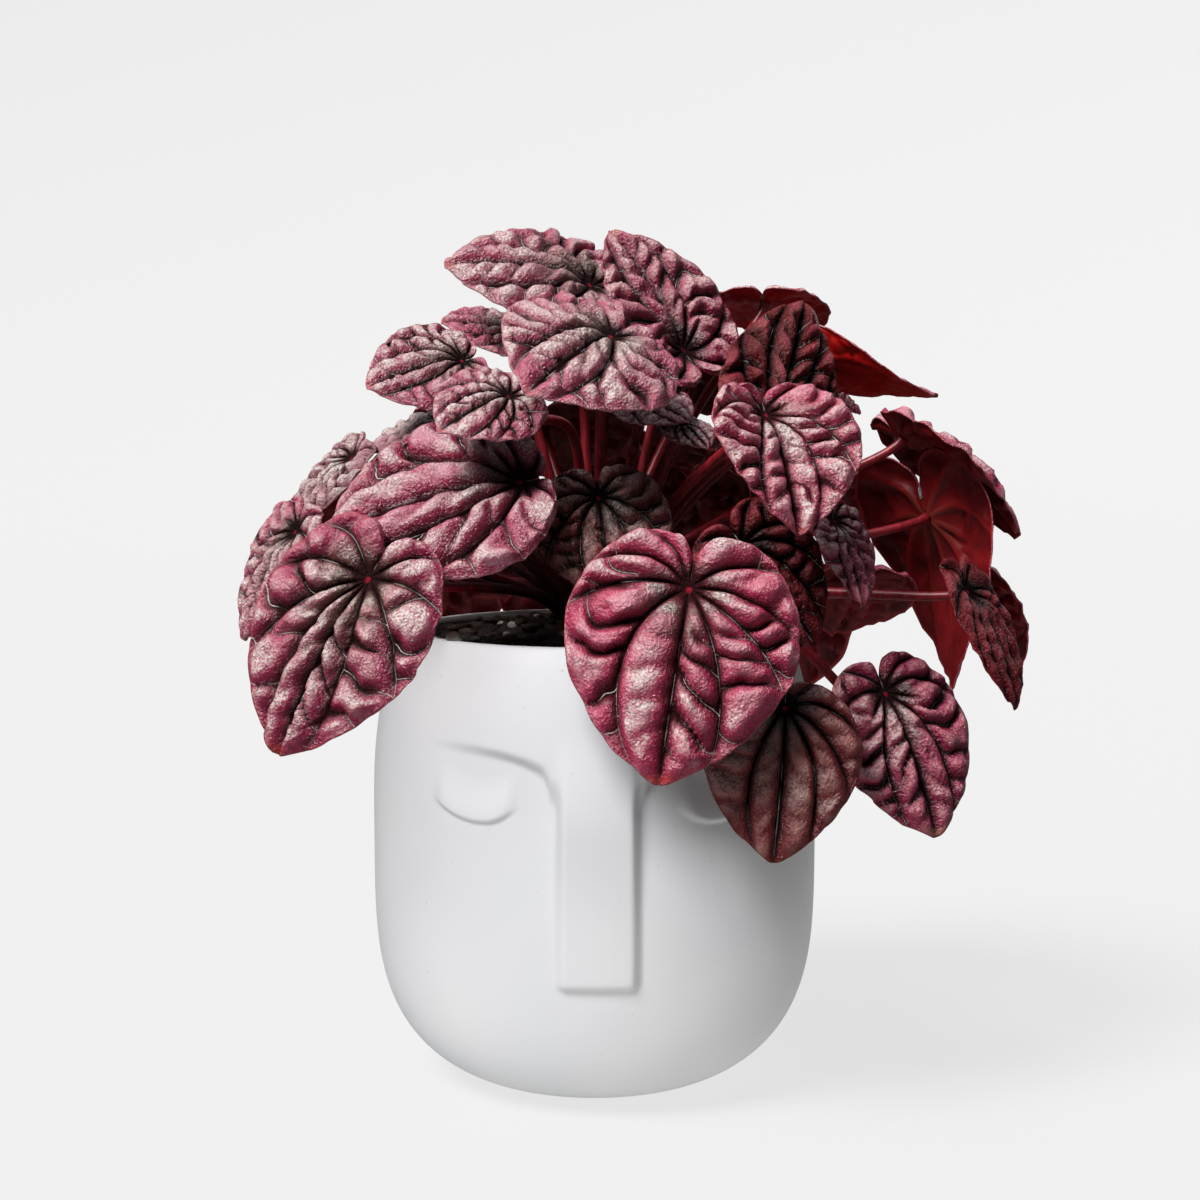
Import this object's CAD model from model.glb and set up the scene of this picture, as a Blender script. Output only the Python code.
# Ripple peperomia in its face pot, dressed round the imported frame: the white pot with its face,
# the soil with its perlite, the red stalks on their crown, and the rippled leaf blades.

from math import atan2, cos, degrees, exp, floor, hypot, pi, radians, sin
from random import Random

import bmesh
import bpy
from mathutils import Matrix, Vector, geometry, noise


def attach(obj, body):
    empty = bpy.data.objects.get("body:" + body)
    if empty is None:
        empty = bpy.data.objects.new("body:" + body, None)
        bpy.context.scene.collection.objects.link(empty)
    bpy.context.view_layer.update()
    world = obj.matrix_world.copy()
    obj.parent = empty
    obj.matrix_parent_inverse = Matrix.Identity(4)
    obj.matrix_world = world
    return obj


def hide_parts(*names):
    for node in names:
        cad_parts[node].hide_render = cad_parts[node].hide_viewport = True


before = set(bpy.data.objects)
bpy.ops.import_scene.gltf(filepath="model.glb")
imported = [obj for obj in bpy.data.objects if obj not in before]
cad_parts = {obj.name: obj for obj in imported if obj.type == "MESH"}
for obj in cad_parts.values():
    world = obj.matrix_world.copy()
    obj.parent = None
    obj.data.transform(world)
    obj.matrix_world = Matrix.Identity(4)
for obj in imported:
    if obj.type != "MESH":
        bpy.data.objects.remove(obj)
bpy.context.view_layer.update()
mm = 0.001  # sizes and places below are in millimetres, the scene is in metres
seamGap = 0.0005  # points nearer than this are merged


# Small helpers for numbers.

def clamp(value, low, high):
    return min(max(value, low), high)


def smooth(value, start, end):
    share = clamp((value - start) / (end - start), 0.0, 1.0)
    return share * share * (3 - 2 * share)


def blend(a, b, share):
    return a + (b - a) * share


# A soft curve through stations [x, value], which are in rising order.
def softCurve(stations):
    count = len(stations)
    slopes = []
    for i in range(count):
        x0, y0 = stations[max(i - 1, 0)]
        x1, y1 = stations[min(i + 1, count - 1)]
        slopes.append((y1 - y0) / (x1 - x0))

    def value(x):
        x = clamp(x, stations[0][0], stations[-1][0])
        i = 0
        while i + 2 < count and x > stations[i + 1][0]:
            i += 1
        (x0, y0), (x1, y1) = stations[i], stations[i + 1]
        width = x1 - x0
        s = (x - x0) / width
        rise = (2 * s ** 3 - 3 * s ** 2 + 1) * y0 + (3 * s ** 2 - 2 * s ** 3) * y1
        bends = (s ** 3 - 2 * s ** 2 + s) * slopes[i] + (s ** 3 - s ** 2) * slopes[i + 1]
        return rise + bends * width

    return value


def wobble(x, y, seed):
    return noise.noise(Vector((x, y, seed)))


# Small helpers for materials.

def colour(code):
    parts = [int(code[i:i + 2], 16) / 255 for i in (1, 3, 5)]
    linear = [p / 12.92 if p <= 0.04045 else ((p + 0.055) / 1.055) ** 2.4 for p in parts]
    return (*linear, 1.0)


# Each input is another node's socket, a number or several, or a colour's code.
def plug(node, inputs):
    for key, value in inputs.items():
        if isinstance(value, bpy.types.NodeSocket):
            node.id_data.links.new(value, node.inputs[key])
        else:
            node.inputs[key].default_value = colour(value) if isinstance(value, str) else value


# Adds a node beside another one, or beside the node that a socket is on.
def addNode(beside, kind, inputs, **settings):
    made = beside.id_data.nodes.new(kind)
    for name, value in settings.items():
        setattr(made, name, value)
    plug(made, inputs)
    return made


def maths(operation, a, b=0.0):
    return addNode(a, "ShaderNodeMath", {0: a, 1: b}, operation=operation).outputs[0]


def times(product, *factors):
    for factor in factors:
        product = maths("MULTIPLY", product, factor)
    return product


def larger(a, b):
    return maths("MAXIMUM", a, b)


def ramp(value, start, end, low=0.0, high=1.0):
    inputs = {"Value": value, "From Min": start, "From Max": end, "To Min": low, "To Max": high}
    made = addNode(value, "ShaderNodeMapRange", inputs, interpolation_type="SMOOTHSTEP")
    return made.outputs["Result"]


def mixColour(share, a, b, way="MIX"):
    settings = {"data_type": "RGBA", "blend_type": way}
    return addNode(share, "ShaderNodeMix", {0: share, 6: a, 7: b}, **settings).outputs[2]


def mottle(place, scale, detail=3.0, roughness=0.55):
    inputs = {"Vector": place, "Scale": scale, "Detail": detail, "Roughness": roughness}
    return addNode(place, "ShaderNodeTexNoise", inputs).outputs["Fac"]


# How far each point is from the pot's axis.
def fromAxis(place):
    flat = addNode(place, "ShaderNodeVectorMath", {0: place, 1: (1, 1, 0)}, operation="MULTIPLY").outputs[0]
    return addNode(place, "ShaderNodeVectorMath", {0: flat}, operation="LENGTH").outputs["Value"]


def split(vector):
    return addNode(vector, "ShaderNodeSeparateXYZ", {0: vector}).outputs


def bladeMap(place, name):
    return split(addNode(place, "ShaderNodeUVMap", {}, uv_map=name).outputs["UV"])


def surfaceValue(place, name):
    return addNode(place, "ShaderNodeAttribute", {}, attribute_name=name).outputs["Fac"]


def bump(height, strength, distance, before=None):
    inputs = {"Height": height, "Strength": strength, "Distance": distance}
    if before:
        inputs["Normal"] = before
    return addNode(height, "ShaderNodeBump", inputs).outputs["Normal"]


# A material, and the place on the object that its patterns follow.
def newMaterial(name):
    material = bpy.data.materials.new(name)
    material.use_nodes = True
    shader = material.node_tree.nodes["Principled BSDF"]
    return material, addNode(shader, "ShaderNodeTexCoord", {}).outputs["Object"]


def dress(material, **sockets):
    inputs = {name.replace("_", " "): value for name, value in sockets.items()}
    plug(material.node_tree.nodes["Principled BSDF"], inputs)
    return material


# Spins a profile of [radius, height] once round the pot's axis.
def spun(profile, turns, mergeWithin=seamGap):
    bm = bmesh.new()
    line = [bm.verts.new((0, -radius, height)) for radius, height in profile]
    edges = [bm.edges.new(pair) for pair in zip(line, line[1:])]
    bmesh.ops.spin(bm, geom=line + edges, cent=(0, 0, 0), axis=(0, 0, 1), dvec=(0, 0, 0),
                   angle=2 * pi, steps=turns, use_merge=True, use_duplicate=False)
    bmesh.ops.remove_doubles(bm, verts=bm.verts, dist=mergeWithin)
    return bm


def intoScene(name, data):
    made = bpy.data.objects.new(name, data)
    bpy.context.scene.collection.objects.link(made)
    return made


def meshIntoScene(name, bm, materials):
    for part in bm.faces:
        part.smooth = True
    mesh = bpy.data.meshes.new(name)
    bm.to_mesh(mesh)
    bm.free()
    for material in materials:
        mesh.materials.append(material)
    return intoScene(name, mesh)


# Turns a bmesh in millimetres into a piece that rides on the root and stands for CAD nodes.
def addPiece(name, bm, materials, slot, *nodes):
    bmesh.ops.scale(bm, vec=(mm, mm, mm), verts=bm.verts)
    piece = meshIntoScene(name, bm, materials)
    if nodes:
        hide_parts(*nodes)
    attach(piece, "root")
    return piece


# The pot: a spun wall with the face raised from it.

pot = {
    "height": 112.5,
    "radius": 55.3,
    "bellyTop": 64,
    "baseRadius": 24,
    "bellyPower": 4,  # how square the round bottom is
    "bellyRoot": 1.6,
    "taperStart": 68,
    "taper": 7.4,  # how much narrower the wall's top is
    "taperPower": 2.5,
    "wall": 4,
    "floor": 6,
    "lipRound": 1.4,
    "lipSteps": 6,
    # Rings of the mesh up the outside, each as [height, step, how many], and down the inside.
    "footRings": (28, 2.2, 32),  # up to this height, closer at the foot
    "outerRings": ((28, 0.9, 46), (69.4, 0.55, 49), (96.8, 1.6, 9)),
    "innerRings": (108, 104, 100, 90, 76, 60, 44, 30, 18),
    "turns": 320,
    "faceCrowding": 0.45,  # how much closer the turns stand at the face than at the back
}

face = {
    "turn": 0.9,
    "noseHalfFlat": 7.6,
    "noseHalfFoot": 10.9,
    "noseProud": 2.4,
    "noseBottom": 33.7,
    "noseBottomFlat": 35.6,
    "foreheadStart": 70,
    "foreheadEnd": 94,
    "socketDepth": 2.9,
    "socketHeights": (44, 84),  # it deepens from the cheek up to the brow
    "socketReach": (14, 49),  # degrees over which it runs out sideways
    "lidProud": 1.3,
    "lidFade": 11,
    # Upper and lower edge of the sloped band under the brow: [degrees from the nose, height].
    "browTop": softCurve([[0, 80], [11, 83.8], [13, 86.5], [17, 87.9], [24, 89.4], [34, 90.5], [50, 90.3]]),
    "browFoot": softCurve([[0, 72], [11.4, 75.8], [13, 81], [15.6, 83.4], [21, 85.5], [29, 86.8],
                           [50, 88.9]]),
    "lidLine": softCurve([[21, 75.4], [25, 73], [28.8, 72.2], [34.2, 72.7], [38.9, 74.3], [44.4, 77.1]]),
    "lidEnds": (19.5, 44.5),
    "lidEndFade": 5,
}


def potRadius(z):
    if z < pot["bellyTop"]:
        u = (pot["bellyTop"] - z) / pot["bellyTop"]
        swell = (1 - u ** pot["bellyPower"]) ** (1 / pot["bellyRoot"])
        return pot["baseRadius"] + (pot["radius"] - pot["baseRadius"]) * swell
    lean = clamp((z - pot["taperStart"]) / (pot["height"] - pot["taperStart"]), 0, 1)
    return pot["radius"] - pot["taper"] * lean ** pot["taperPower"]


def cavityRadius(z):
    return potRadius(z) - pot["wall"]


def facePushOut(angle, z):
    away = abs(angle)
    besideNose = smooth(away, face["noseHalfFlat"], face["noseHalfFoot"])
    aboveBottom = smooth(z, face["noseBottom"], face["noseBottomFlat"])
    belowForehead = 1 - smooth(z, face["foreheadStart"], face["foreheadEnd"])
    nose = face["noseProud"] * (1 - besideNose) * aboveBottom * belowForehead
    browTop = face["browTop"](away)
    underBrow = 1 - smooth(z, face["browFoot"](away), browTop)
    intoCheek = smooth(z, *face["socketHeights"])
    outwards = 1 - smooth(away, *face["socketReach"])
    socket = face["socketDepth"] * underBrow * intoCheek * outwards * besideNose
    (first, last), fade = face["lidEnds"], face["lidEndFade"]
    line = face["lidLine"](away)
    ends = smooth(away, first, first + fade) * (1 - smooth(away, last - fade, last))
    lid = smooth(z, line - 0.5, line + 0.5) * (1 - smooth(z, line, line + face["lidFade"]))
    return nose - socket + face["lidProud"] * lid * ends


def potProfile():
    height, lip, steps = pot["height"], pot["lipRound"], pot["lipSteps"]
    top, crowding, count = pot["footRings"]
    heights = [top * (i / count) ** crowding for i in range(count)]
    for low, step, count in pot["outerRings"]:
        heights += [low + step * i for i in range(count)]
    points = [(0, 0), (pot["baseRadius"] / 2, 0)] + [(potRadius(z), z) for z in heights]
    outer, inner = potRadius(height) - lip, cavityRadius(height) + lip
    for middle, first, last in ((outer, 1, steps), (inner, steps, 2 * steps)):
        for turn in (radians(90 * i / steps) for i in range(first, last + 1)):
            points.append((middle + lip * cos(turn), height - lip + lip * sin(turn)))
    points += [(cavityRadius(z), z) for z in pot["innerRings"]]
    floorEdge = cavityRadius(2 * pot["floor"]) - 8
    return points + [(radius, pot["floor"]) for radius in (floorEdge, 14, 0)]


glaze = {
    "cool": "#dcdee0",
    "warm": "#e4e4e4",
    "specks": "#8d8478",
    "soilDust": "#2c1d15",  # on the inside, above the soil
    "dustRadius": (0.0462, 0.0452),  # metres from the axis, where the inside starts
    "dustHeight": (0.09, 0.1),
    "bare": ("#c9c0b2", "#ddd6ca"),  # unglazed foot
    "bareHeight": (0.0016, 0.0006),
}


def glazeMaterial():
    material, place = newMaterial("whiteGlaze")
    clouds = ramp(mottle(place, 18, 2), 0.3, 0.7)
    tone = mixColour(clouds, glaze["cool"], glaze["warm"])
    specks = ramp(mottle(place, 900, 1), 0.785, 0.8)
    tone = mixColour(times(specks, 0.35), tone, glaze["specks"])
    radius = maths("ADD", fromAxis(place), times(mottle(place, 200), 0.001))
    height = split(place)["Z"]
    dust = times(ramp(radius, *glaze["dustRadius"]), ramp(height, *glaze["dustHeight"]))
    tone = mixColour(times(dust, 0.9), tone, glaze["soilDust"])
    bare = ramp(height, *glaze["bareHeight"])
    body = mixColour(mottle(place, 300), *glaze["bare"])
    grain = mottle(place, 1400, 2)
    waves = mottle(place, 70, 2)
    relief = maths("ADD", grain, times(waves, 2.5))
    gloss = ramp(mottle(place, 40), 0.3, 0.7, 0.46, 0.56)
    return dress(material, Base_Color=mixColour(bare, tone, body), Specular_IOR_Level=0.45,
                 Roughness=larger(gloss, times(bare, 0.8)), Normal=bump(relief, 0.12, 0.0002))


def buildPot():
    bm = spun(potProfile(), pot["turns"])
    for vert in bm.verts:
        x, y, z = vert.co
        radius = hypot(x, y)
        if radius < 1:
            continue
        angle = atan2(x, -y)
        angle -= pot["faceCrowding"] * sin(angle)
        if radius > potRadius(z) - 0.01 and 1 < z < pot["height"] - pot["lipRound"]:
            radius += facePushOut(degrees(angle), z)
        angle += radians(face["turn"])
        vert.co = (radius * sin(angle), -radius * cos(angle), z)
    bmesh.ops.recalc_face_normals(bm, faces=bm.faces)
    addPiece("facePot", bm, [glazeMaterial()], "pot_ceramic", "pot")


# The soil: a lumpy top inside the pot, with perlite, bark and crumbs half sunk in it.

soil = {
    "level": 108,
    "mound": 4,
    "heap": 2.6,  # how much higher it lies at the back
    "turns": 128,
    "rows": 34,
    "bottom": ((100, 0.25), (92, 1)),  # below the top: height, how far inside the pot's wall
    "clear": 0.25,  # from the pot's inner wall
    "seed": 11,
    "crownRoom": 13,  # no grains nearer to the axis than this, nor to the wall than edgeRoom
    "edgeRoom": 3,
    "dry": ("#140b08", "#35221a"),
    "damp": "#120b08",
}


def soilHeight(x, y):
    radius = hypot(x, y)
    angle = atan2(x, -y)
    lumps = 0.5 * sin(3 * angle + 1) + 0.4 * sin(5 * angle + radius / 4)
    crumbs = 1.5 * wobble(x / 6, y / 6, 3) + 0.9 * wobble(x / 2.4, y / 2.4, 8)
    middle = 1 - (radius / cavityRadius(soil["level"])) ** 2
    heap = soil["heap"] * smooth(y, 0, 34)
    return soil["level"] + soil["mound"] * middle + lumps * smooth(radius, 4, 20) + crumbs + heap - 0.3


def soilMaterial():
    material, place = newMaterial("darkPeat")
    crumbs = mottle(place, 420, 5, 0.7)
    damp = ramp(mottle(place, 60, 2), 0.35, 0.65)
    peat = mixColour(ramp(crumbs, 0.3, 0.7), *soil["dry"])
    peat = mixColour(times(damp, 0.6), peat, soil["damp"])
    roughness = ramp(damp, 0, 1, 0.95, 0.7)
    return dress(material, Base_Color=peat, Roughness=roughness, Normal=bump(crumbs, 0.8, 0.0006))


def buildSoil():
    edge = cavityRadius(soil["level"]) - soil["clear"]
    rows = soil["rows"]
    points = [(edge * i / rows, soil["level"]) for i in range(rows + 1)]
    points += [(cavityRadius(height) - inside, height) for height, inside in soil["bottom"]]
    points += [(radius, soil["bottom"][-1][0]) for radius in (20, 0)]
    bm = spun(points, soil["turns"])
    for vert in bm.verts:
        if vert.co.z > soil["level"] - 1:
            vert.co.z = soilHeight(vert.co.x, vert.co.y)
    bmesh.ops.recalc_face_normals(bm, faces=bm.faces)
    addPiece("soilBed", bm, [soilMaterial()], "potting_soil", "soil")


# Loose grains on the soil: how many, their half size, how long they are against that, how far their
# middle lies above it, how finely they are faceted, and their material.
grains = {
    "perlite": {"count": 30, "size": (0.7, 1.5), "long": 1.25, "above": 0.25, "facets": 2,
                "material": "palePerlite", "tones": ("#6f6a5f", "#c9c3b6"), "roughness": 0.8},
    "bark": {"count": 90, "size": (0.9, 2.0), "long": 2.6, "above": 0.2, "facets": 1,
             "material": "barkChips", "tones": ("#140c08", "#40281b"), "roughness": 0.75},
    "crumb": {"count": 420, "size": (0.5, 1.3), "long": 1.2, "above": 0.1, "facets": 1,
              "material": "soilCrumbs", "tones": ("#150d09", "#3d281c"), "roughness": 0.9},
}

rimGrain = {"place": (-33.2, -30.6, 113.1), "size": 1.9}


def grainMaterial(kind):
    material, place = newMaterial(kind["material"])
    dark, light = kind["tones"]
    pits = mottle(place, 1500, 4, 0.65)
    patches = ramp(mottle(place, 160, 2), 0.3, 0.7)
    tone = mixColour(patches, dark, light)
    tone = mixColour(ramp(pits, 0.5, 0.3, 0, 0.6), tone, dark)
    return dress(material, Base_Color=tone, Roughness=kind["roughness"], Normal=bump(pits, 0.7, 0.0003))


def addGrain(bm, draw, kind, place, size):
    turn = Matrix.Rotation(draw.uniform(0, 2 * pi), 4, "Z") @ Matrix.Rotation(draw.uniform(-0.4, 0.4), 4, "X")
    stretch = Matrix.Diagonal((kind["long"], 1, draw.uniform(0.55, 0.9), 1))
    matrix = Matrix.Translation(place) @ turn @ stretch
    made = bmesh.ops.create_icosphere(bm, subdivisions=kind["facets"], radius=size, matrix=matrix)
    for vert in made["verts"]:
        away = vert.co - Vector(place)
        vert.co = Vector(place) + away * (1 + 0.35 * noise.noise(vert.co * (0.9 / size)))


def scatterGrains(name, kind):
    draw = Random(soil["seed"] + len(name))
    inner = soil["crownRoom"]
    belt = cavityRadius(soil["level"]) - inner - soil["edgeRoom"]
    bm = bmesh.new()
    for _ in range(kind["count"]):
        size = draw.uniform(*kind["size"])
        radius = inner + (belt - size * kind["long"]) * draw.random() ** 0.5
        angle = draw.uniform(0, 2 * pi)
        x, y = radius * sin(angle), -radius * cos(angle)
        addGrain(bm, draw, kind, (x, y, soilHeight(x, y) + size * kind["above"]), size)
    if name == "perlite":
        addGrain(bm, draw, kind, rimGrain["place"], rimGrain["size"])
    addPiece(name + "Grains", bm, [grainMaterial(kind)], "potting_soil")


# The leaf blades. One row for each: where its stalk joins it, its tip, the way its upper side
# faces, and its form, as in the part: droop is the bend from joint to tip in degrees (20), dome
# the fall of the sides (0.2), fold a keel (+) or trough (-) along the midrib, wide the width,
# lobes the reach of the two rear lobes, twist the turn about the midrib, via a point that the
# stalk passes. finish names its colours, fine how close its mesh is, cells how strong the side
# veins cut, ripple how high the ridges stand. For each side, veins gives the main veins' angles at
# the joint and the margin, cuts how deep the side veins of each cell are, shallow a faint main vein.
# lit is for a blade whose underside glows in the light behind it.
def grown(at, tip, faces, finish, **form):
    return {"at": at, "tip": tip, "faces": faces, "finish": finish, **form}


leaves = {
    "front": grown((21, -66, 128), (14, -73, 84.5), (-0.05, -1, 0.15), "burgundy", droop=30, dome=0.3,
        shallow=(0, 0), fine=4,
        veins=(((35, 14), (64, 50), (95, 72), (135, 110)), ((56, 7), (98, 76), (130, 102), (158, 140))),
        cuts=((0.9, 0.75, 0.9, 0.6, 0.4), (0.3, 0.95, 0.8, 0.6, 0.4))),
    "front_left": grown((-51, -52, 129), (-71, -54, 88), (-0.4, -0.9, 0.2), "olive", droop=30, wide=0.85,
        shallow=(0, 0), fine=3,
        veins=(((28, 7), (66, 48), (104, 90), (140, 125)), ((24, 10), (52, 40), (88, 76), (130, 108))),
        cuts=((0.9, 0.8, 0.8, 0.5, 0.4), (0.4, 0.6, 0.9, 0.6, 0.4))),
    "left_long": grown((-17, -34, 150), (-63, -36, 135), (-0.3, -0.75, 0.55), "fresh", droop=30, dome=0.3,
        wide=0.85, lobes=0.5, via=(-20, -16, 138), fine=3),
    "crown_left": grown((-1, 8, 197.5), (-38, 2, 200.5), (-0.1, -0.65, 0.75), "dusty", droop=35, dome=0.35,
        wide=0.9, lobes=0.7, fine=3),
    "crown_top": grown((22, -2, 181), (2.5, 8, 210.5), (0.45, -0.75, 0.45), "shaded", droop=10, fold=-0.2,
        wide=0.78, fine=3),
    "crown_front": grown((4, -28, 184), (-16, -50, 169), (0.15, -0.7, 0.65), "dusty", droop=30, dome=0.25,
        wide=1.15, fine=3),
    "right_front": grown((39, -46, 166), (45, -60, 138), (0.4, -0.85, 0.3), "burgundy", droop=20, fold=-0.4,
        lobes=0.7, fine=3),
    "right_inner": grown((42, -20, 162), (51, 0, 193), (0.5, -0.8, 0.45), "deep", droop=10, dome=0.3,
        wide=0.75, fine=3),
    "right_under": grown((83, 0, 140), (87, -4, 96), (0.75, 0.65, 0.2), "burgundy", droop=40, dome=0.3,
        wide=0.8, lobes=1.4, twist=40, fine=2, ripple=0.45, cells=0.5),
    "right_long": grown((76, -6, 160), (102.5, -10, 133.5), (0.6, 0.25, 0.75), "burgundy", droop=32,
        dome=0.3, wide=0.8, lobes=0.8, fine=2),
    "low_right": grown((68, -38, 101), (79, -44, 67), (0.35, -0.9, 0.3), "shaded", droop=25, dome=0.3,
        wide=0.85, lobes=0.85, fine=3),
    "low_centre": grown((43, -58, 100.5), (40, -61, 65), (0.1, -0.95, 0.2), "dark", droop=25, dome=0.3,
        wide=0.9, lobes=0.6, fine=3, cells=0.4, ripple=0.8),
    "rear_low_left": grown((-42, 52, 124), (-58, 66, 88), (-0.5, 0.85, 0.2), "burgundy", droop=30, dome=0.3,
        lobes=1.4, fine=2),
    "rear_low": grown((0, 62, 128), (0, 76, 88), (0, 1, 0.2), "fresh", droop=30, dome=0.3, wide=1.15,
        lobes=1.45, fine=2),
    "rear_low_right": grown((46, 52, 122), (58, 66, 86), (0.5, 0.85, 0.2), "burgundy", droop=30, dome=0.3,
        lobes=0.8, fine=2),
    "heart_dark": grown((1, -23.5, 146), (4, -36.5, 120.5), (0, -0.9, 0.35), "dark", fine=2),
    "behind_front": grown((34, -44, 136), (51, -42, 112), (0.15, -0.9, 0.4), "deep", wide=0.9),
    "right_hanging": grown((56, -36, 141), (61, -46, 121), (0.5, -0.8, 0.3), "burgundy", wide=0.6),
    "left_upper": grown((-32, -10, 178.5), (-55, -20, 171), (-0.2, -0.8, 0.55), "dusty", lobes=0.65,
        fine=2),
    "left_wedge": grown((-20, 12, 185), (-39, 6, 187.5), (-0.35, -0.55, 0.75), "dusty", lobes=0.8),
    "centre_left": grown((-20, -32, 170), (-36, -45, 161), (-0.2, -0.85, 0.5), "dusty", via=(-6, -11, 162),
        fine=2),
    "left_shaded": grown((-38, -8, 164), (-55, -12, 155), (-0.4, -0.3, 0.85), "pale"),
    "left_outer": grown((-59, -12, 155), (-74, -12, 137), (-0.55, -0.5, 0.7), "pale", wide=0.75, fine=2),
    "left_far": grown((-71, -26, 138), (-82.5, -26, 111), (-0.7, -0.6, 0.4), "dusty", wide=0.75),
    "young": grown((11, -12, 169), (23, -22, 163), (0.1, -0.6, 0.75), "dusty"),
    "youngest": grown((21, -16, 163), (27, -24, 157), (0.3, -0.7, 0.6), "dusty"),
    "right_tip": grown((57, 6, 171), (66.5, 4, 165), (0.2, -0.3, 0.9), "shaded"),
    "right_low_under": grown((67, 4, 123), (62, 26, 106), (0, 0.6, 0.8), "burgundy"),
    "right_crest": grown((43, 12, 194), (50, 38, 182), (0.15, 0.55, 0.8), "burgundy", wide=0.9, fine=2,
        ripple=0.5, cells=0.5, lit=True),
    "right_arch": grown((57, 8, 179), (87.5, 12, 168.5), (0.3, 0.75, 0.6), "burgundy", droop=-40, wide=0.5,
        lobes=1.1, twist=50, fine=2, ripple=0.5, cells=0.5, lit=True),
    "right_lower": grown((88.5, -28, 124), (98, -36, 95.5), (0.8, -0.55, 0.3), "deep", wide=0.7, fine=2,
        ripple=0.7, cells=0.45),
    "right_behind": grown((98, 16, 120), (108, 14, 98), (0.8, 0.5, 0.3), "burgundy", via=(66, 40, 124)),
    "rear_left": grown((-60, 24, 145), (-86, 32, 124), (-0.7, 0.45, 0.6), "burgundy", fine=2),
    "rear_mid_left": grown((-35, 43, 148), (-48, 65, 128), (-0.3, 0.7, 0.6), "dusty", wide=0.85, fine=2),
    "rear_mid": grown((16, 46, 156), (24, 74, 138), (0.2, 0.75, 0.6), "burgundy", wide=1.25, lobes=1.8,
        fine=2),
    "rear_right": grown((50, 36, 150), (74, 56, 130), (0.5, 0.6, 0.6), "fresh", fine=2),
    "rear_top_left": grown((-26, 22, 170), (-46, 40, 158), (-0.35, 0.35, 0.85), "burgundy", fine=2),
    "rear_top": grown((3, 28, 182), (-4, 54, 168), (-0.1, 0.5, 0.85), "dusty", fine=2),
    "rear_top_right": grown((26, 27, 175), (38, 54, 161), (0.3, 0.5, 0.8), "burgundy", wide=1.25, lobes=1.6,
        fine=2),
    "rear_inner": grown((-13, 28, 162), (-11, 50, 146), (0, 0.6, 0.8), "shaded", wide=1.35, lobes=1.9),
    "rear_inner_right": grown((26, 30, 144), (32, 46, 123), (0.2, 0.7, 0.5), "shaded", wide=0.9, lobes=1.6),
    "left_low": grown((-58, 8, 130), (-80, 8, 102), (-0.75, 0, 0.6), "burgundy"),
}

# What every blade shares. Lengths marked * are shares of the blade's length.
blade = {
    "thickness": 0.7,
    "marginShare": 0.5,  # thickness at the margin
    "ridge": 0.068,  # * height of the ridges
    "furrow": 0.03,  # * depth of the veins
    "navel": 0.045,  # * depth of the stalk's joint
    "spacing": 0.165,  # * between two side veins
    "slant": (1.3, 1.2, 1.0, 0.8, 0.5),  # how far the side veins run on before the next main vein
    "cells": (0.6, 0.85, 0.9, 0.7, 0.4),  # how deep the side veins cut, from the midrib outwards
    "lumps": 0.028,  # * swellings along the ridges
    "crepe": 0.003,  # * small wrinkles
    "sway": 4.0,  # degrees a vein may stray
    "blunt": 2.5,  # degrees over which the tip is rounded
    "stray": (7, 6),  # degrees a main vein may stand off its usual place: at the joint, at the margin
    "waves": 0.022,  # * how far the margin swells between the side veins
    "columns": {1: 8, 2: 10, 3: 15, 4: 19},  # mesh columns between two veins, for each fineness
    "rows": {1: 26, 2: 36, 3: 60, 4: 76},
    "curve": 1.6,  # how late a main vein bends towards the tip
}

marginReach = softCurve([
    [0, 1], [6, 0.935], [15, 0.87], [35, 0.76], [60, 0.66], [90, 0.53],
    [120, 0.43], [145, 0.33], [165, 0.24], [180, 0.13],
])
veinStarts = (0, 36, 68, 102, 142, 180)
veinEnds = (0, 11, 38, 74, 122, 180)
reachByDegree = [marginReach(degree) for degree in range(181)]


def reachAt(angle):
    angle = min(hypot(angle, blade["blunt"]), 180)
    whole = min(int(angle), 179)
    return blend(reachByDegree[whole], reachByDegree[whole + 1], angle - whole)


def bladeFrame(leaf):
    joint = Vector(leaf["at"])
    chord = Vector(leaf["tip"]) - joint
    droop = radians(leaf.get("droop", 20))
    length = chord.length * droop / 2 / sin(droop / 2)
    forward = chord.normalized()
    facing = Vector(leaf["faces"])
    facing = (facing - forward * facing.dot(forward)).normalized()
    across = forward.cross(facing)
    along = forward * cos(droop / 2) + facing * sin(droop / 2)
    up = facing * cos(droop / 2) - forward * sin(droop / 2)
    return joint, along, up, across, length, droop / length


# A point over the blade's bent middle plane: x across, y along and height are shares of length.
def bladePoint(leaf, place, x, y, height):
    joint, along, up, across, length, bend = place
    turn = bend * y * length
    out = up * cos(turn) + along * sin(turn)
    twist = radians(leaf.get("twist", 0)) * max(y, 0.0)
    side = across * cos(twist) - out * sin(twist)
    out = out * cos(twist) + across * sin(twist)
    spine = joint + along * (sin(turn) / bend) + up * ((cos(turn) - 1) / bend)
    return spine + side * (x * length) + out * (height * length)


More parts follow.
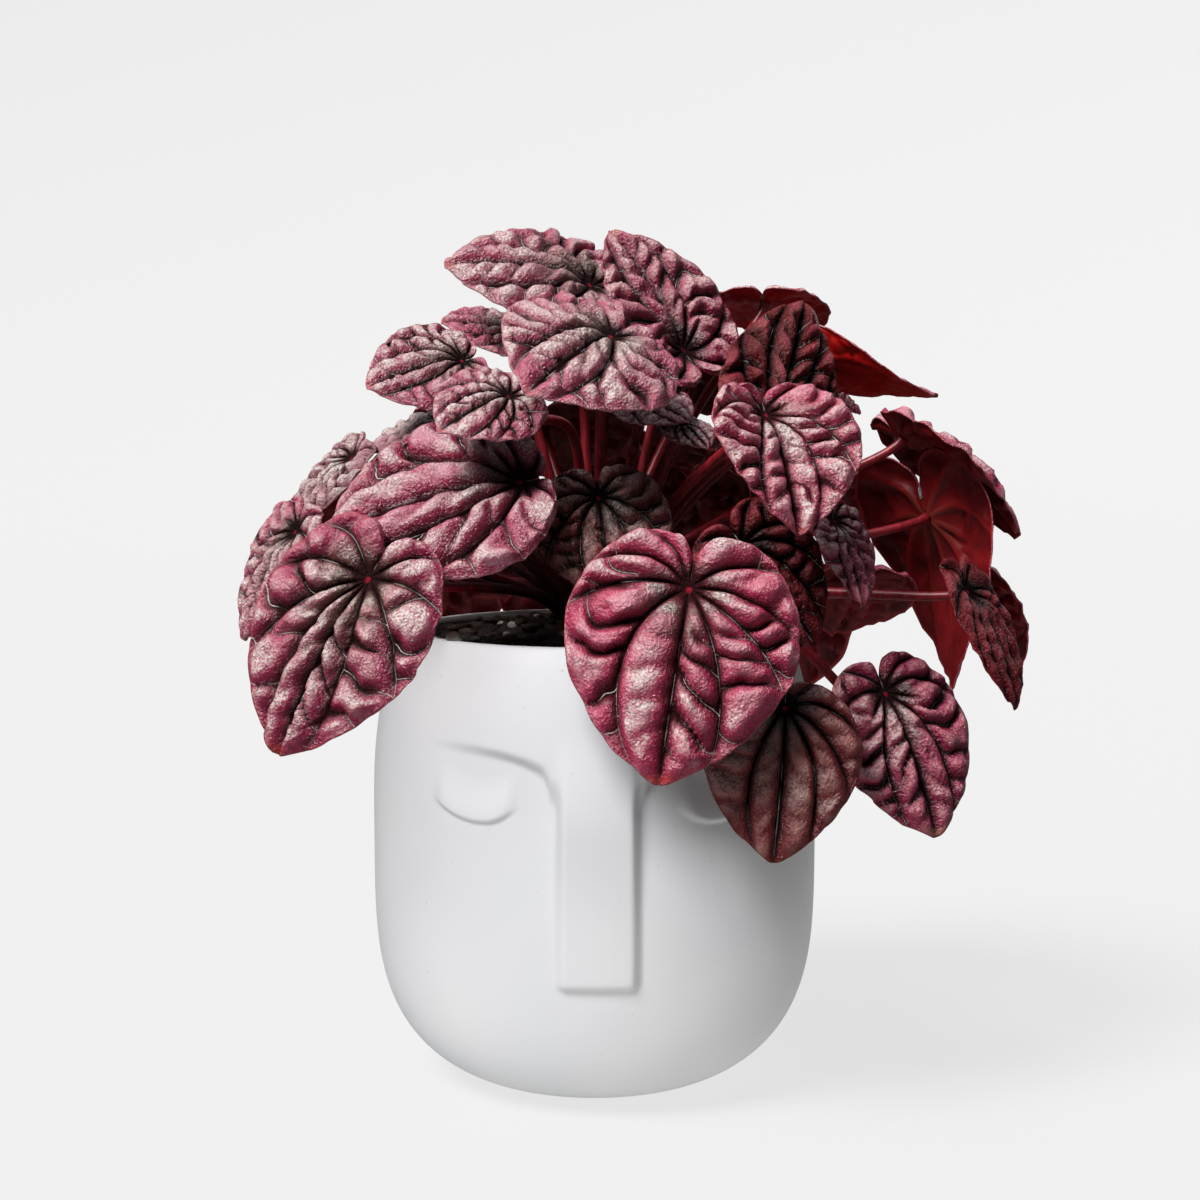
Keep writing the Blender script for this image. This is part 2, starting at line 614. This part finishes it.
# The main veins of one blade, for each side: where each starts and ends, how deep it lies, and for
# each cell the deep vein that its side veins leave.
def mainVeins(leaf, seed):
    draw = Random(int(seed * 10))
    sides = {}
    usual = list(zip(veinStarts, veinEnds))[1:5]
    for side in (-1, 1):
        starts, ends, depths, inner = [0], [0], [1.0], [0]
        shallow = leaf.get("shallow", (draw.choice((0, 2, 3)), draw.choice((0, 2, 3))))[side > 0]
        angles = leaf.get("veins", (usual, usual))[side > 0]
        stray = 0 if "veins" in leaf else 1
        for vein in range(1, 5):
            start, end = angles[vein - 1]
            starts.append(start + stray * draw.uniform(-1, 1) * blade["stray"][0])
            ends.append(end + stray * draw.uniform(-1, 1) * blade["stray"][1])
            depths.append(0.12 if vein == shallow else draw.uniform(0.8, 1))
            inner.append(vein - 1 if vein == shallow else vein)
        sides[side] = (starts + [180], ends + [180], depths + [0.8], inner)
    return sides


# Degrees between the two main veins of a cell.
def cellAngle(sideOfVeins, cell, edge):
    starts, ends, _, _ = sideOfVeins
    return blend(starts[cell + 1] - starts[cell], ends[cell + 1] - ends[cell], edge ** blade["curve"])


# Where a blade's mesh point lies: track runs from -5 to 5 round the joint, with a main vein at
# each whole number, and edge from 0 at the joint to 1 at the margin.
def bladePlan(leaf, veins, seed, track, edge):
    side = -1 if track < 0 else 1
    cell = min(int(abs(track)), 4)
    share = abs(track) - cell
    starts, ends, _, _ = veins[side]
    sway = blade["sway"] * wobble(track * 0.9 + seed, edge * 2.2, 4.5) * smooth(5 - abs(track), 0, 1)
    sway *= smooth(edge, 0, 0.4) * smooth(abs(track), 0, 0.8)
    start = blend(starts[cell], starts[cell + 1], share)
    end = blend(ends[cell], ends[cell + 1], share)
    sway *= min(cellAngle(veins[side], cell, edge) / 36, 1)
    angle = clamp(blend(start, end, edge ** blade["curve"]) + sway, 0, 180)
    lobes = blend(1, leaf.get("lobes", 1), smooth(angle, 60, 140))
    reach = edge * reachAt(angle) * lobes
    waves = wobble(side * angle / 9 + seed, seed, 2.5) * smooth(angle, 4, 20)
    reach *= 1 + blade["waves"] * waves * smooth(edge, 0.5, 1)
    x = side * reach * sin(radians(angle)) * leaf.get("wide", 1)
    y = reach * cos(radians(angle))
    return side, cell, share, reach, x, y


# The side veins: whole numbers of this value, slanting out from the deep main vein inside them.
def sideVeins(veins, seed, side, cell, share, reach, x, y):
    inner = veins[side][3][cell]
    start = 0.37 * inner + 0.53 * side + seed * 0.61
    stray = 0.6 * wobble(x * 4 + seed, y * 4, 1.5) + 0.2 * wobble(x * 11, y * 11 + seed, 7.5)
    closer = 1 + 0.35 * wobble(seed, side * 4.1, 5.5)
    slanted = blade["slant"][inner] * (share + cell - inner) ** 0.85
    return reach * closer / blade["spacing"] - slanted + start + stray


def rippleHeight(leaf, veins, seed, side, cell, share, reach, edge, x, y):
    depths = veins[side][2]
    depth = blend(1, depths[cell + (share > 0.5)], smooth(edge, 0.2, 0.45))
    ridge = 1 - depth * (1 - (1 - abs(2 * share - 1) ** 2.5) ** 0.85)
    count = sideVeins(veins, seed, side, cell, share, reach, x, y)
    part = count - floor(count)
    pillow = smooth(0.5 - abs(part - 0.5), -0.02, 0.34)
    cuts = leaf.get("cuts", (blade["cells"], blade["cells"]))[side > 0]
    strength = cuts[cell] * leaf.get("cells", 1) * (0.85 + 0.6 * wobble(cell * 3.1, side * 7 + seed, 2))
    strength *= smooth(reach, 0.14, 0.36) * (1 - 0.5 * depth * smooth(share, 0.5, 0.95))
    strength *= 1 - 0.85 * smooth(y, 0.74, 0.88)
    strength = clamp(strength * (1.1 + 0.4 * wobble(x * 6, y * 6 + seed, 3.5)), 0, 0.9)
    return ridge * (1 - strength * (1 - pillow)), strength, depth


# The track of each mesh column: wide cells get more columns, and a main vein always has its own.
def columnTracks(veins, columns):
    tracks = [0.0]
    for side in (-1, 1):
        starts, ends, _, _ = veins[side]
        widths = [starts[i + 1] - starts[i] + 2 * (ends[i + 1] - ends[i]) for i in range(5)]
        counts = [max(5, round(columns / 2 * width / sum(widths))) for width in widths]
        counts[counts.index(max(counts))] += columns // 2 - sum(counts)
        for cell, count in enumerate(counts):
            tracks += [side * (cell + (i + 1) / count) for i in range(count)]
    return sorted(tracks)


def buildBlade(name, leaf, seed, materials):
    place = bladeFrame(leaf)
    length = place[4]
    veins = mainVeins(leaf, seed)
    fineness = leaf.get("fine", 1)
    columns, rows = 10 * blade["columns"][fineness], blade["rows"][fineness]
    bm = bmesh.new()
    veinMap = bm.loops.layers.uv.new("veinMap")
    cellMap = bm.loops.layers.uv.new("cellMap")
    layers = [bm.verts.layers.float.new(kind) for kind in ("relief", "cellWidth", "sideCut", "mainCut")]
    weights = bm.verts.layers.deform.verify()
    bmesh.ops.create_grid(bm, x_segments=columns, y_segments=rows, size=0.5)
    tracks = columnTracks(veins, columns)
    for gridFace in bm.faces:
        column = int((gridFace.calc_center_median().x + 0.5) * columns)
        middle = (tracks[column] + tracks[column + 1]) / 2
        side = -1 if middle < 0 else 1
        cell = int(abs(middle))
        for loop in gridFace.loops:
            track, edge = tracks[round((loop.vert.co.x + 0.5) * columns)], loop.vert.co.y + 0.5
            _, _, _, reach, x, y = bladePlan(leaf, veins, seed, track, edge)
            share = abs(track) - cell
            count = sideVeins(veins, seed, side, cell, clamp(share, 0, 1), reach, x, y)
            loop[veinMap].uv = (track, edge)
            loop[cellMap].uv = (share, count)
    for vert in bm.verts:
        track, edge = tracks[round((vert.co.x + 0.5) * columns)], vert.co.y + 0.5
        side, cell, share, reach, x, y = bladePlan(leaf, veins, seed, track, edge)
        relief, cut, main = rippleHeight(leaf, veins, seed, side, cell, share, reach, edge, x, y)
        far = hypot(x, y)
        ripple = leaf.get("ripple", 1)
        band = smooth(far, 0.0, 0.26) * (1 - 0.7 * smooth(edge, 0.9, 1))
        height = blade["navel"] * (1 - exp(-((far / 0.16) ** 2)))
        height -= leaf.get("dome", 0.2) * x * x + leaf.get("fold", 0) * abs(x) * smooth(far, 0, 0.3)
        height += (relief * (blade["ridge"] + blade["furrow"]) - blade["furrow"]) * band * ripple
        lumps = wobble(x * 8 + seed, y * 8, 6) * relief
        crepe = wobble(x * 20 + seed, y * 20, 6) + 0.6 * wobble(x * 42, y * 42 + seed, 9)
        height += (blade["lumps"] * lumps + blade["crepe"] * crepe) * smooth(far, 0.05, 0.3)
        cellWidth = far * length * radians(cellAngle(veins[side], cell, edge))
        values = (relief * smooth(far, 0.02, 0.2), cellWidth, cut, main)
        for layer, value in zip(layers, values):
            vert[layer] = value
        vert[weights][0] = 1 - smooth(edge, 0.8, 1)
        vert.co = bladePoint(leaf, place, x, y, height)
    bmesh.ops.remove_doubles(bm, verts=bm.verts, dist=0.002)
    piece = addPiece("blade_" + name, bm, materials, "leaf_blade", "leaf_" + name)
    piece.vertex_groups.new(name="body")
    shell = piece.modifiers.new("thickness", "SOLIDIFY")
    shell.thickness = blade["thickness"] * mm
    shell.offset = -1
    shell.vertex_group = "body"
    shell.thickness_vertex_group = blade["marginShare"]
    shell.material_offset = 1
    shell.material_offset_rim = 0


# Colours of the upper side: near the joint, the ridges' feet, their body and tops, the furrows, the
# margin and the tip. spread is where the joint's colour has run out, bloom how much grey lies on the
# ridges, gloss the strength of the shine.
finishParts = ("joint", "low", "body", "crest", "furrow", "margin", "tip", "spread", "bloom", "gloss")
finishes = {
    "burgundy": ("#54403a", "#641428", "#ae2854", "#c07686", "#1e0406", "#b0505e", "#b02a26", 0.44, 1.0, 1.0),
    "olive": ("#5a4a3e", "#441016", "#a02452", "#b06474", "#180504", "#b04a4c", "#b02c20", 0.66, 0.9, 0.95),
    "fresh": ("#422827", "#48091c", "#9e2850", "#bc788c", "#180306", "#c07882", "#c09a8c", 0.32, 0.9, 1.0),
    "dusty": ("#64544a", "#380e14", "#a43a5c", "#b4848c", "#120304", "#b87a80", "#b2585e", 0.66, 0.95, 0.8),
    "pale": ("#80706d", "#542c36", "#a07078", "#b2a0a4", "#20100e", "#b8787c", "#a05a5e", 0.4, 0.9, 0.5),
    "shaded": ("#33201c", "#3e0814", "#921c46", "#b66a76", "#140304", "#9c444c", "#b87868", 0.36, 0.55, 1.0),
    "deep": ("#160604", "#200204", "#58060f", "#86303a", "#080101", "#7c2028", "#6a1a1a", 0.36, 0.05, 0.25),
    "dark": ("#2e2619", "#3c0e10", "#742228", "#a06660", "#0e0403", "#7a282a", "#6a1e1a", 0.5, 0.45, 0.8),
}

# Colours that every upper side shares: the grey bloom, the fine grain, the silver along the veins,
# and the spot over the joint.
sheen = {"bloom": "#c8c6be", "grain": "#dcbcc0", "silver": "#d0c8c4", "jointSpot": "#8a1428"}

# Colours of the underside: its two body tones, the ribs, the green of the main ribs and the margin.
underTones = {
    "shaded": ("#4e080c", "#741216", "#7e1a1a", "#583424", "#8a1c1e"),
    "lit": ("#a00a08", "#c01812", "#a81612", "#8c2018", "#b01c1c"),
}


# How near a point is to a vein, 0 to 1: main veins from the shares of veinMap, side veins of cellMap.
def veinLines(place, width):
    parts = bladeMap(place, "cellMap")
    share = maths("PINGPONG", parts["X"], 0.5)
    fromMain = times(share, surfaceValue(place, "cellWidth"))
    fromSide = maths("PINGPONG", parts["Y"], 0.5)
    main = times(ramp(fromMain, width * 1.6, width * 0.6), surfaceValue(place, "mainCut"))
    side = times(ramp(fromSide, width * 0.22, width * 0.08), ramp(surfaceValue(place, "sideCut"), 0.25, 0.65))
    return main, side


def bladeTopMaterial(name):
    finish = dict(zip(finishParts, finishes[name]))
    material, place = newMaterial(name + "Blade")
    veins = bladeMap(place, "veinMap")
    track, edge = veins["X"], veins["Y"]
    relief = surfaceValue(place, "relief")
    patches = mottle(place, 150, 3)
    clouds = mottle(place, 60, 2)
    specks = mottle(place, 1500, 3, 0.65)
    main, side = veinLines(place, 0.08)
    outward = maths("SUBTRACT", maths("ADD", edge, times(patches, 0.5)), 0.25)
    body = mixColour(ramp(outward, 0.12, finish["spread"] + 0.12), finish["joint"], finish["body"])
    crest = times(ramp(relief, 0.7, 1), ramp(patches, 0.36, 0.62, 0.05, 1), ramp(edge, 0.1, 0.5, 0.4, 1))
    body = mixColour(crest, body, finish["crest"])
    normal = addNode(place, "ShaderNodeNewGeometry", {}).outputs["Normal"]
    upward = addNode(place, "ShaderNodeVectorMath", {0: normal, 1: (-0.35, -0.6, 0.72)},
                     operation="DOT_PRODUCT").outputs["Value"]
    bloom = times(ramp(upward, 0.4, 0.92), ramp(relief, 0.35, 0.8), ramp(specks, 0.4, 0.6, 0.15, 1),
                  ramp(clouds, 0.38, 0.6, 0.14, 1.12), finish["bloom"])
    body = mixColour(bloom, body, sheen["bloom"])
    foot = times(ramp(relief, 0.76, 0.28), ramp(edge, 0.75, 1.0, 0.92, 0.4))
    body = mixColour(foot, body, finish["low"])
    depth = times(ramp(relief, 0.5, 0.1), ramp(edge, 0.75, 1.0, 0.9, 0.35))
    body = mixColour(depth, body, finish["furrow"])
    mainCrease, sideCrease = veinLines(place, 0.36)
    crease = larger(mainCrease, times(sideCrease, 0.8))
    crease = times(crease, ramp(edge, 0.8, 1.0, 0.92, 0.45))
    body = mixColour(crease, body, finish["furrow"])
    grain = ramp(specks, 0.4, 0.62, 0.0, 0.32 + 0.58 * finish["bloom"])
    body = mixColour(grain, body, sheen["grain"], "SOFT_LIGHT")
    silver = times(larger(main, side), ramp(edge, 0.2, 0.5, 0.0, 0.9),
                   ramp(mottle(place, 110, 2), 0.43, 0.56, 0.0, 1))
    body = mixColour(silver, body, sheen["silver"])
    offMiddle = maths("ABSOLUTE", track)
    tip = times(ramp(edge, 0.93, 0.985), ramp(offMiddle, 0.6, 0.1))
    body = mixColour(tip, body, finish["tip"])
    margin = times(ramp(edge, 0.98, 0.996), 0.85)
    body = mixColour(margin, body, finish["margin"])
    body = mixColour(ramp(edge, 0.04, 0.012), body, sheen["jointSpot"])
    pebbles = addNode(place, "ShaderNodeTexVoronoi", {"Vector": place, "Scale": 1500.0}).outputs["Distance"]
    skin = bump(pebbles, 0.9, 0.0003)
    skin = bump(mottle(place, 420, 5, 0.72), 0.9, 0.0011, skin)
    roughness = ramp(mottle(place, 240, 3), 0.3, 0.7, 0.2, 0.32)
    hollow = larger(larger(crease, depth), ramp(edge, 0.25, 0.05, 0, 0.6))
    roughness = larger(roughness, times(hollow, 0.95))
    tint = ramp(hollow, 0, 0.8, 1, 0.12)  # no shine down in the creases
    return dress(material, Base_Color=body, Roughness=roughness, Normal=skin, Specular_Tint=tint,
                 Specular_IOR_Level=finish["gloss"])


def bladeUnderMaterial(name):
    deep, bright, rib, green, margin = underTones[name]
    material, place = newMaterial(name + "Underside")
    edge = bladeMap(place, "veinMap")["Y"]
    main, side = veinLines(place, 0.42)
    patches = mottle(place, 90, 3)
    body = mixColour(ramp(patches, 0.3, 0.7), deep, bright)
    ribs = times(larger(main, times(side, 0.5)), 0.5)
    body = mixColour(ribs, body, rib)
    inner = times(main, ramp(edge, 0.5, 0.1, 0, 0.35))
    body = mixColour(inner, body, green)
    body = mixColour(ramp(edge, 0.96, 0.99), body, margin)
    roughness = ramp(mottle(place, 200, 3), 0.3, 0.7, 0.38, 0.54)
    return dress(material, Base_Color=body, Roughness=roughness, Specular_IOR_Level=0.25,
                 Normal=bump(mottle(place, 800, 3), 0.3, 0.0003))


# The stalks, the crown they grow from and the two young buds.

stalk = {
    "radius": 1.35,
    "sides": 16,
    "steps": 34,
    "spread": 7,  # how far from the axis it starts
    "shoulder": 114.5,  # the height it starts at
    "swing": 0.15,  # how soon it leans out, as a share of its reach
    "arch": 24,  # least climb
    "rise": 0.6,  # how much of its climb comes before it bends
    "arrival": 0.28,  # straight stretch behind the blade, as a share of the blade's length
    "overRim": 6,  # how far above the pot one passes whose blade hangs outside
    "sunk": 0.35,  # how far below the blade's upper side it ends
    "thinner": 0.2,  # at the blade, as a share
    "sheath": (0.5, 0.12),  # how much thicker at the crown, and over which share of it
    "collar": (0.35, 0.95),  # how much thicker at the blade, and from where
    "reds": ("#640c14", "#901a28"),
    "footTone": "#240a09",
}

crown = {"radius": 11.04, "middle": 107, "height": 12.35, "scales": 9, "tones": ("#2c1712", "#6a3a2a")}

# The buds' folds are their furls, and bend is how far above the crown their stalks turn.
buds = {"radius": 1.9, "tall": 1.25, "furls": 5, "stalk": 0.9, "bend": 11.5,
        "at": [(9.5, -12, 157), (29, -9, 155)]}


# Handles of the centripetal curve through four points, from the second to the third.
def softHandles(a, b, c, d):
    steps = [max((q - p).length_squared ** 0.25, 1e-4) for p, q in ((a, b), (b, c), (c, d))]
    first = (b - a) / steps[0] - (c - a) / (steps[0] + steps[1]) + (c - b) / steps[1]
    last = (c - b) / steps[1] - (d - b) / (steps[1] + steps[2]) + (d - c) / steps[2]
    return b + first * steps[1] / 3, c - last * steps[1] / 3


def stalkRoute(leaf):
    joint, _, up, _, length, _ = bladeFrame(leaf)
    end = joint - up * stalk["sunk"]
    outward = Vector((end.x, end.y, 0))
    start = outward.normalized() * min(stalk["spread"], outward.length)
    start.z = stalk["shoulder"]
    arriving = end - up * (stalk["arrival"] * length)
    hangs = end.z < pot["height"] + stalk["overRim"]
    if "via" in leaf or hangs:
        overRim = outward.normalized() * cavityRadius(pot["height"])
        overRim.z = pot["height"] + stalk["overRim"]
        via = Vector(leaf["via"]) if "via" in leaf else overRim
        stops = [start * 2 - via, start, via, arriving, end, end * 2 - arriving]
        points = []
        for a, b, c, d in zip(stops, stops[1:], stops[2:], stops[3:]):
            out, back = softHandles(a, b, c, d)
            points += geometry.interpolate_bezier(b, out, back, c, stalk["steps"] // 3 + 1)[:-1]
        return points + [end]
    leaving = start + outward * stalk["swing"]
    leaving.z += stalk["rise"] * max(end.z - start.z, stalk["arch"])
    return geometry.interpolate_bezier(start, leaving, arriving, end, stalk["steps"])


def stalkTaper(share):
    (foot, footEnd), (top, topStart) = stalk["sheath"], stalk["collar"]
    sheath = foot * (1 - smooth(share, 0.0, footEnd))
    return 1 - stalk["thinner"] * share + sheath + top * smooth(share, topStart, 1.0)


def addSpline(curve, points, radius, taper):
    spline = curve.splines.new("POLY")
    spline.points.add(len(points) - 1)
    for i, (place, point) in enumerate(zip(points, spline.points)):
        point.co = (*place, 1)
        point.radius = radius * taper(i / (len(points) - 1))


def stalkMaterial():
    material, place = newMaterial("redStalk")
    height = split(place)["Z"]
    streaks = addNode(place, "ShaderNodeMapping", {"Vector": place, "Scale": (1, 1, 0.15)}).outputs[0]
    fibre = mottle(streaks, 900, 3)
    red = mixColour(ramp(fibre, 0.3, 0.7), *stalk["reds"])
    foot = ramp(maths("ADD", height, times(mottle(place, 60), 0.01)), 0.15, 0.122)
    foot = times(foot, ramp(fromAxis(place), 0.045, 0.028))
    red = mixColour(times(foot, 0.85), red, stalk["footTone"])
    return dress(material, Base_Color=red, Roughness=0.38, Normal=bump(fibre, 0.25, 0.0002),
                 Subsurface_Weight=0.12, Subsurface_Radius=(0.003, 0.0006, 0.0005),
                 Subsurface_Scale=0.5)


def crownMaterial():
    material, place = newMaterial("crownBark")
    scars = mottle(place, 380, 4, 0.6)
    bark = mixColour(ramp(scars, 0.3, 0.7), *crown["tones"])
    return dress(material, Base_Color=bark, Roughness=0.7, Normal=bump(scars, 0.6, 0.0006))


def buildCrown():
    curve = bpy.data.curves.new("stalkRoutes", "CURVE")
    curve.dimensions = "3D"
    curve.bevel_depth = 1
    curve.bevel_resolution = (stalk["sides"] - 4) // 2
    curve.use_fill_caps = True
    for leaf in leaves.values():
        addSpline(curve, stalkRoute(leaf), stalk["radius"], stalkTaper)
    for at in buds["at"]:
        end = Vector(at)
        start = Vector((end.x, end.y, 0)).normalized() * (stalk["spread"] / 2)
        start.z = stalk["shoulder"]
        over = start + Vector((0, 0, buds["bend"]))
        low, high = start.lerp(over, 2 / 3), end.lerp(over, 2 / 3)
        points = geometry.interpolate_bezier(start, low, high, end, stalk["steps"])
        addSpline(curve, points, buds["stalk"], lambda share: 1)
    routes = intoScene("stalkRoutes", curve)
    bm = bmesh.new()
    bm.from_mesh(routes.evaluated_get(bpy.context.evaluated_depsgraph_get()).to_mesh())
    bpy.data.objects.remove(routes)
    bmesh.ops.remove_doubles(bm, verts=bm.verts, dist=seamGap)
    for at in buds["at"]:
        shape = Matrix.Translation(at) @ Matrix.Diagonal((1, 1, buds["tall"], 1))
        made = bmesh.ops.create_icosphere(bm, subdivisions=4, radius=buds["radius"], matrix=shape)
        for vert in made["verts"]:
            away = vert.co - Vector(at)
            furl = 0.06 * cos(buds["furls"] * atan2(away.x, away.y) + away.z)
            vert.co = Vector(at) + away * (1 + furl)
    middle = Vector((0, 0, crown["middle"]))
    size = Vector((crown["radius"], crown["radius"], crown["height"]))
    bark = bmesh.ops.create_uvsphere(bm, u_segments=64, v_segments=32, radius=1,
                                     matrix=Matrix.Translation(middle))
    for vert in bark["verts"]:
        away = vert.co - middle
        angle = atan2(away.x, away.y)
        scales = 0.05 * cos(crown["scales"] * angle + 9 * away.z) + 0.06 * noise.noise(away * 4)
        vert.co = middle + away * (1 + scales) * size
    barkVerts = set(bark["verts"])
    for part in bm.faces:
        part.material_index = 1 if part.verts[0] in barkVerts else 0
    bmesh.ops.recalc_face_normals(bm, faces=bm.faces)
    addPiece("crownAndStalks", bm, [stalkMaterial(), crownMaterial()], "petiole", "crown_and_petioles")


# Floor, light and camera.

stage = {
    "floorRadius": 1.6,
    "coveRadius": 1.5,
    "nearRadius": 0.16,  # the part that throws light back up
    "turns": 96,
    "seamGap": 0.00001,
    "floorTone": "#5c5c5c",
    "floorGlow": 0.71,
    "skyTone": "#f6f7f9",
    "skyStrength": 0.12,
    # Each light: where it comes from, how wide it is in degrees, its power, tone and what it lights.
    "lights": {
        "keyLight": ((-0.5, -0.5, 0.85), 25, 4.5, "#fffdfb", "plant"),
        "potLight": ((-0.38, -0.78, 0.72), 30, 3.05, "#fffdff", "pot"),
        "potBackLight": ((0.4, 0.8, 0.5), 60, 2.8, "#fdfdff", "pot"),
        "topLight": ((-0.2, 0.0, 1.0), 46, 0.7, "#f8faff", "all"),
        "backLight": ((0.5, 0.75, 0.5), 60, 0.5, "#f8faff", "plant"),
    },
    # These blades hang in front of the pot and keep their shadow off it.
    "clearOfPot": ("front_left", "left_long", "left_far", "left_outer", "left_low"),
}

view = {
    "distance": 0.56,
    "elevation": 5.4,
    "target": (0.00135, 0, 0.1192),
    "lens": 67.2,
    "sensor": 36,
}


def spinFloor(name, points, material):
    bm = spun(points, stage["turns"], stage["seamGap"])
    bmesh.ops.recalc_face_normals(bm, faces=bm.faces)
    for part in bm.faces:
        if part.normal.z < 0:
            part.normal_flip()
    floorPiece = meshIntoScene(name, bm, [material])
    floorPiece.visible_glossy = False  # keeps the floor's glare off the glossy blades
    return floorPiece


def buildStage():
    near, flat, cove = stage["nearRadius"], stage["floorRadius"], stage["coveRadius"]
    points = [(near, 0), (flat / 2, 0), (flat, 0)]
    for step in range(1, 17):
        turn = radians(75 * step / 16)
        points.append((flat + cove * sin(turn), cove * (1 - cos(turn))))
    material = dress(newMaterial("paleFloor")[0], Base_Color=stage["floorTone"], Roughness=0.9,
                     Specular_IOR_Level=0.1, Emission_Color="#ffffff",
                     Emission_Strength=stage["floorGlow"])
    spinFloor("studioFloor", [(0, 0), (near / 2, 0), (near, 0)], material)
    backdrop = spinFloor("studioBackdrop", points, material)
    backdrop.visible_diffuse = False


# A set of pieces for a light: all but the ones named, or only them.
def lightSet(name, pieces, state):
    chosen = bpy.data.collections.new(name)
    for piece in pieces:
        chosen.objects.link(bpy.data.objects[piece])
    for member in chosen.collection_objects:
        member.light_linking.link_state = state
    return chosen


def addLight(name, comesFrom, spread, power, tone):
    lamp = bpy.data.lights.new(name, "SUN")
    lamp.angle = radians(spread)
    lamp.energy = power
    lamp.color = colour(tone)[:3]
    light = intoScene(name, lamp)
    light.location = comesFrom
    light.rotation_euler = (-Vector(comesFrom)).to_track_quat("-Z", "Y").to_euler()
    return light


def lightStage():
    world = bpy.data.worlds.new("studioSky")
    world.use_nodes = True
    sky = {"Color": stage["skyTone"], "Strength": stage["skyStrength"]}
    plug(world.node_tree.nodes["Background"], sky)
    bpy.context.scene.world = world
    potOnly = lightSet("potOnly", ["facePot"], "INCLUDE")
    allButPot = lightSet("allButPot", ["facePot"], "EXCLUDE")
    hanging = lightSet("hangingBlades", ["blade_" + name for name in stage["clearOfPot"]], "EXCLUDE")
    for name, (comesFrom, spread, power, tone, lights) in stage["lights"].items():
        linking = addLight(name, comesFrom, spread, power, tone).light_linking
        if lights == "pot":
            linking.receiver_collection = potOnly
            linking.blocker_collection = hanging
        if lights == "plant":
            linking.receiver_collection = allButPot


def placeCamera():
    lens = bpy.data.cameras.new("mainView")
    lens.lens = view["lens"]
    lens.sensor_width = view["sensor"]
    camera = intoScene("mainView", lens)
    tilt = radians(view["elevation"])
    target = Vector(view["target"])
    camera.location = target + view["distance"] * Vector((0, -cos(tilt), sin(tilt)))
    camera.rotation_euler = (target - camera.location).to_track_quat("-Z", "Y").to_euler()
    bpy.context.scene.camera = camera
    bpy.context.scene.view_settings.view_transform = "Standard"


placeCamera()
buildStage()
print("stage and camera set")
buildPot()
print("pot spun, face raised")
buildSoil()
for name, kind in grains.items():
    scatterGrains(name, kind)
print("soil filled in")
buildCrown()
print("crown and stalks grown")
undersides = {name: bladeUnderMaterial(name) for name in underTones}
tops = {name: bladeTopMaterial(name) for name in finishes}
for number, (name, leaf) in enumerate(leaves.items()):
    underside = undersides["lit" if "lit" in leaf else "shaded"]
    buildBlade(name, leaf, 1.7 * number + 0.3, [tops[leaf["finish"]], underside])
print("blades unfolded:", len(leaves))
lightStage()
print("lights set")
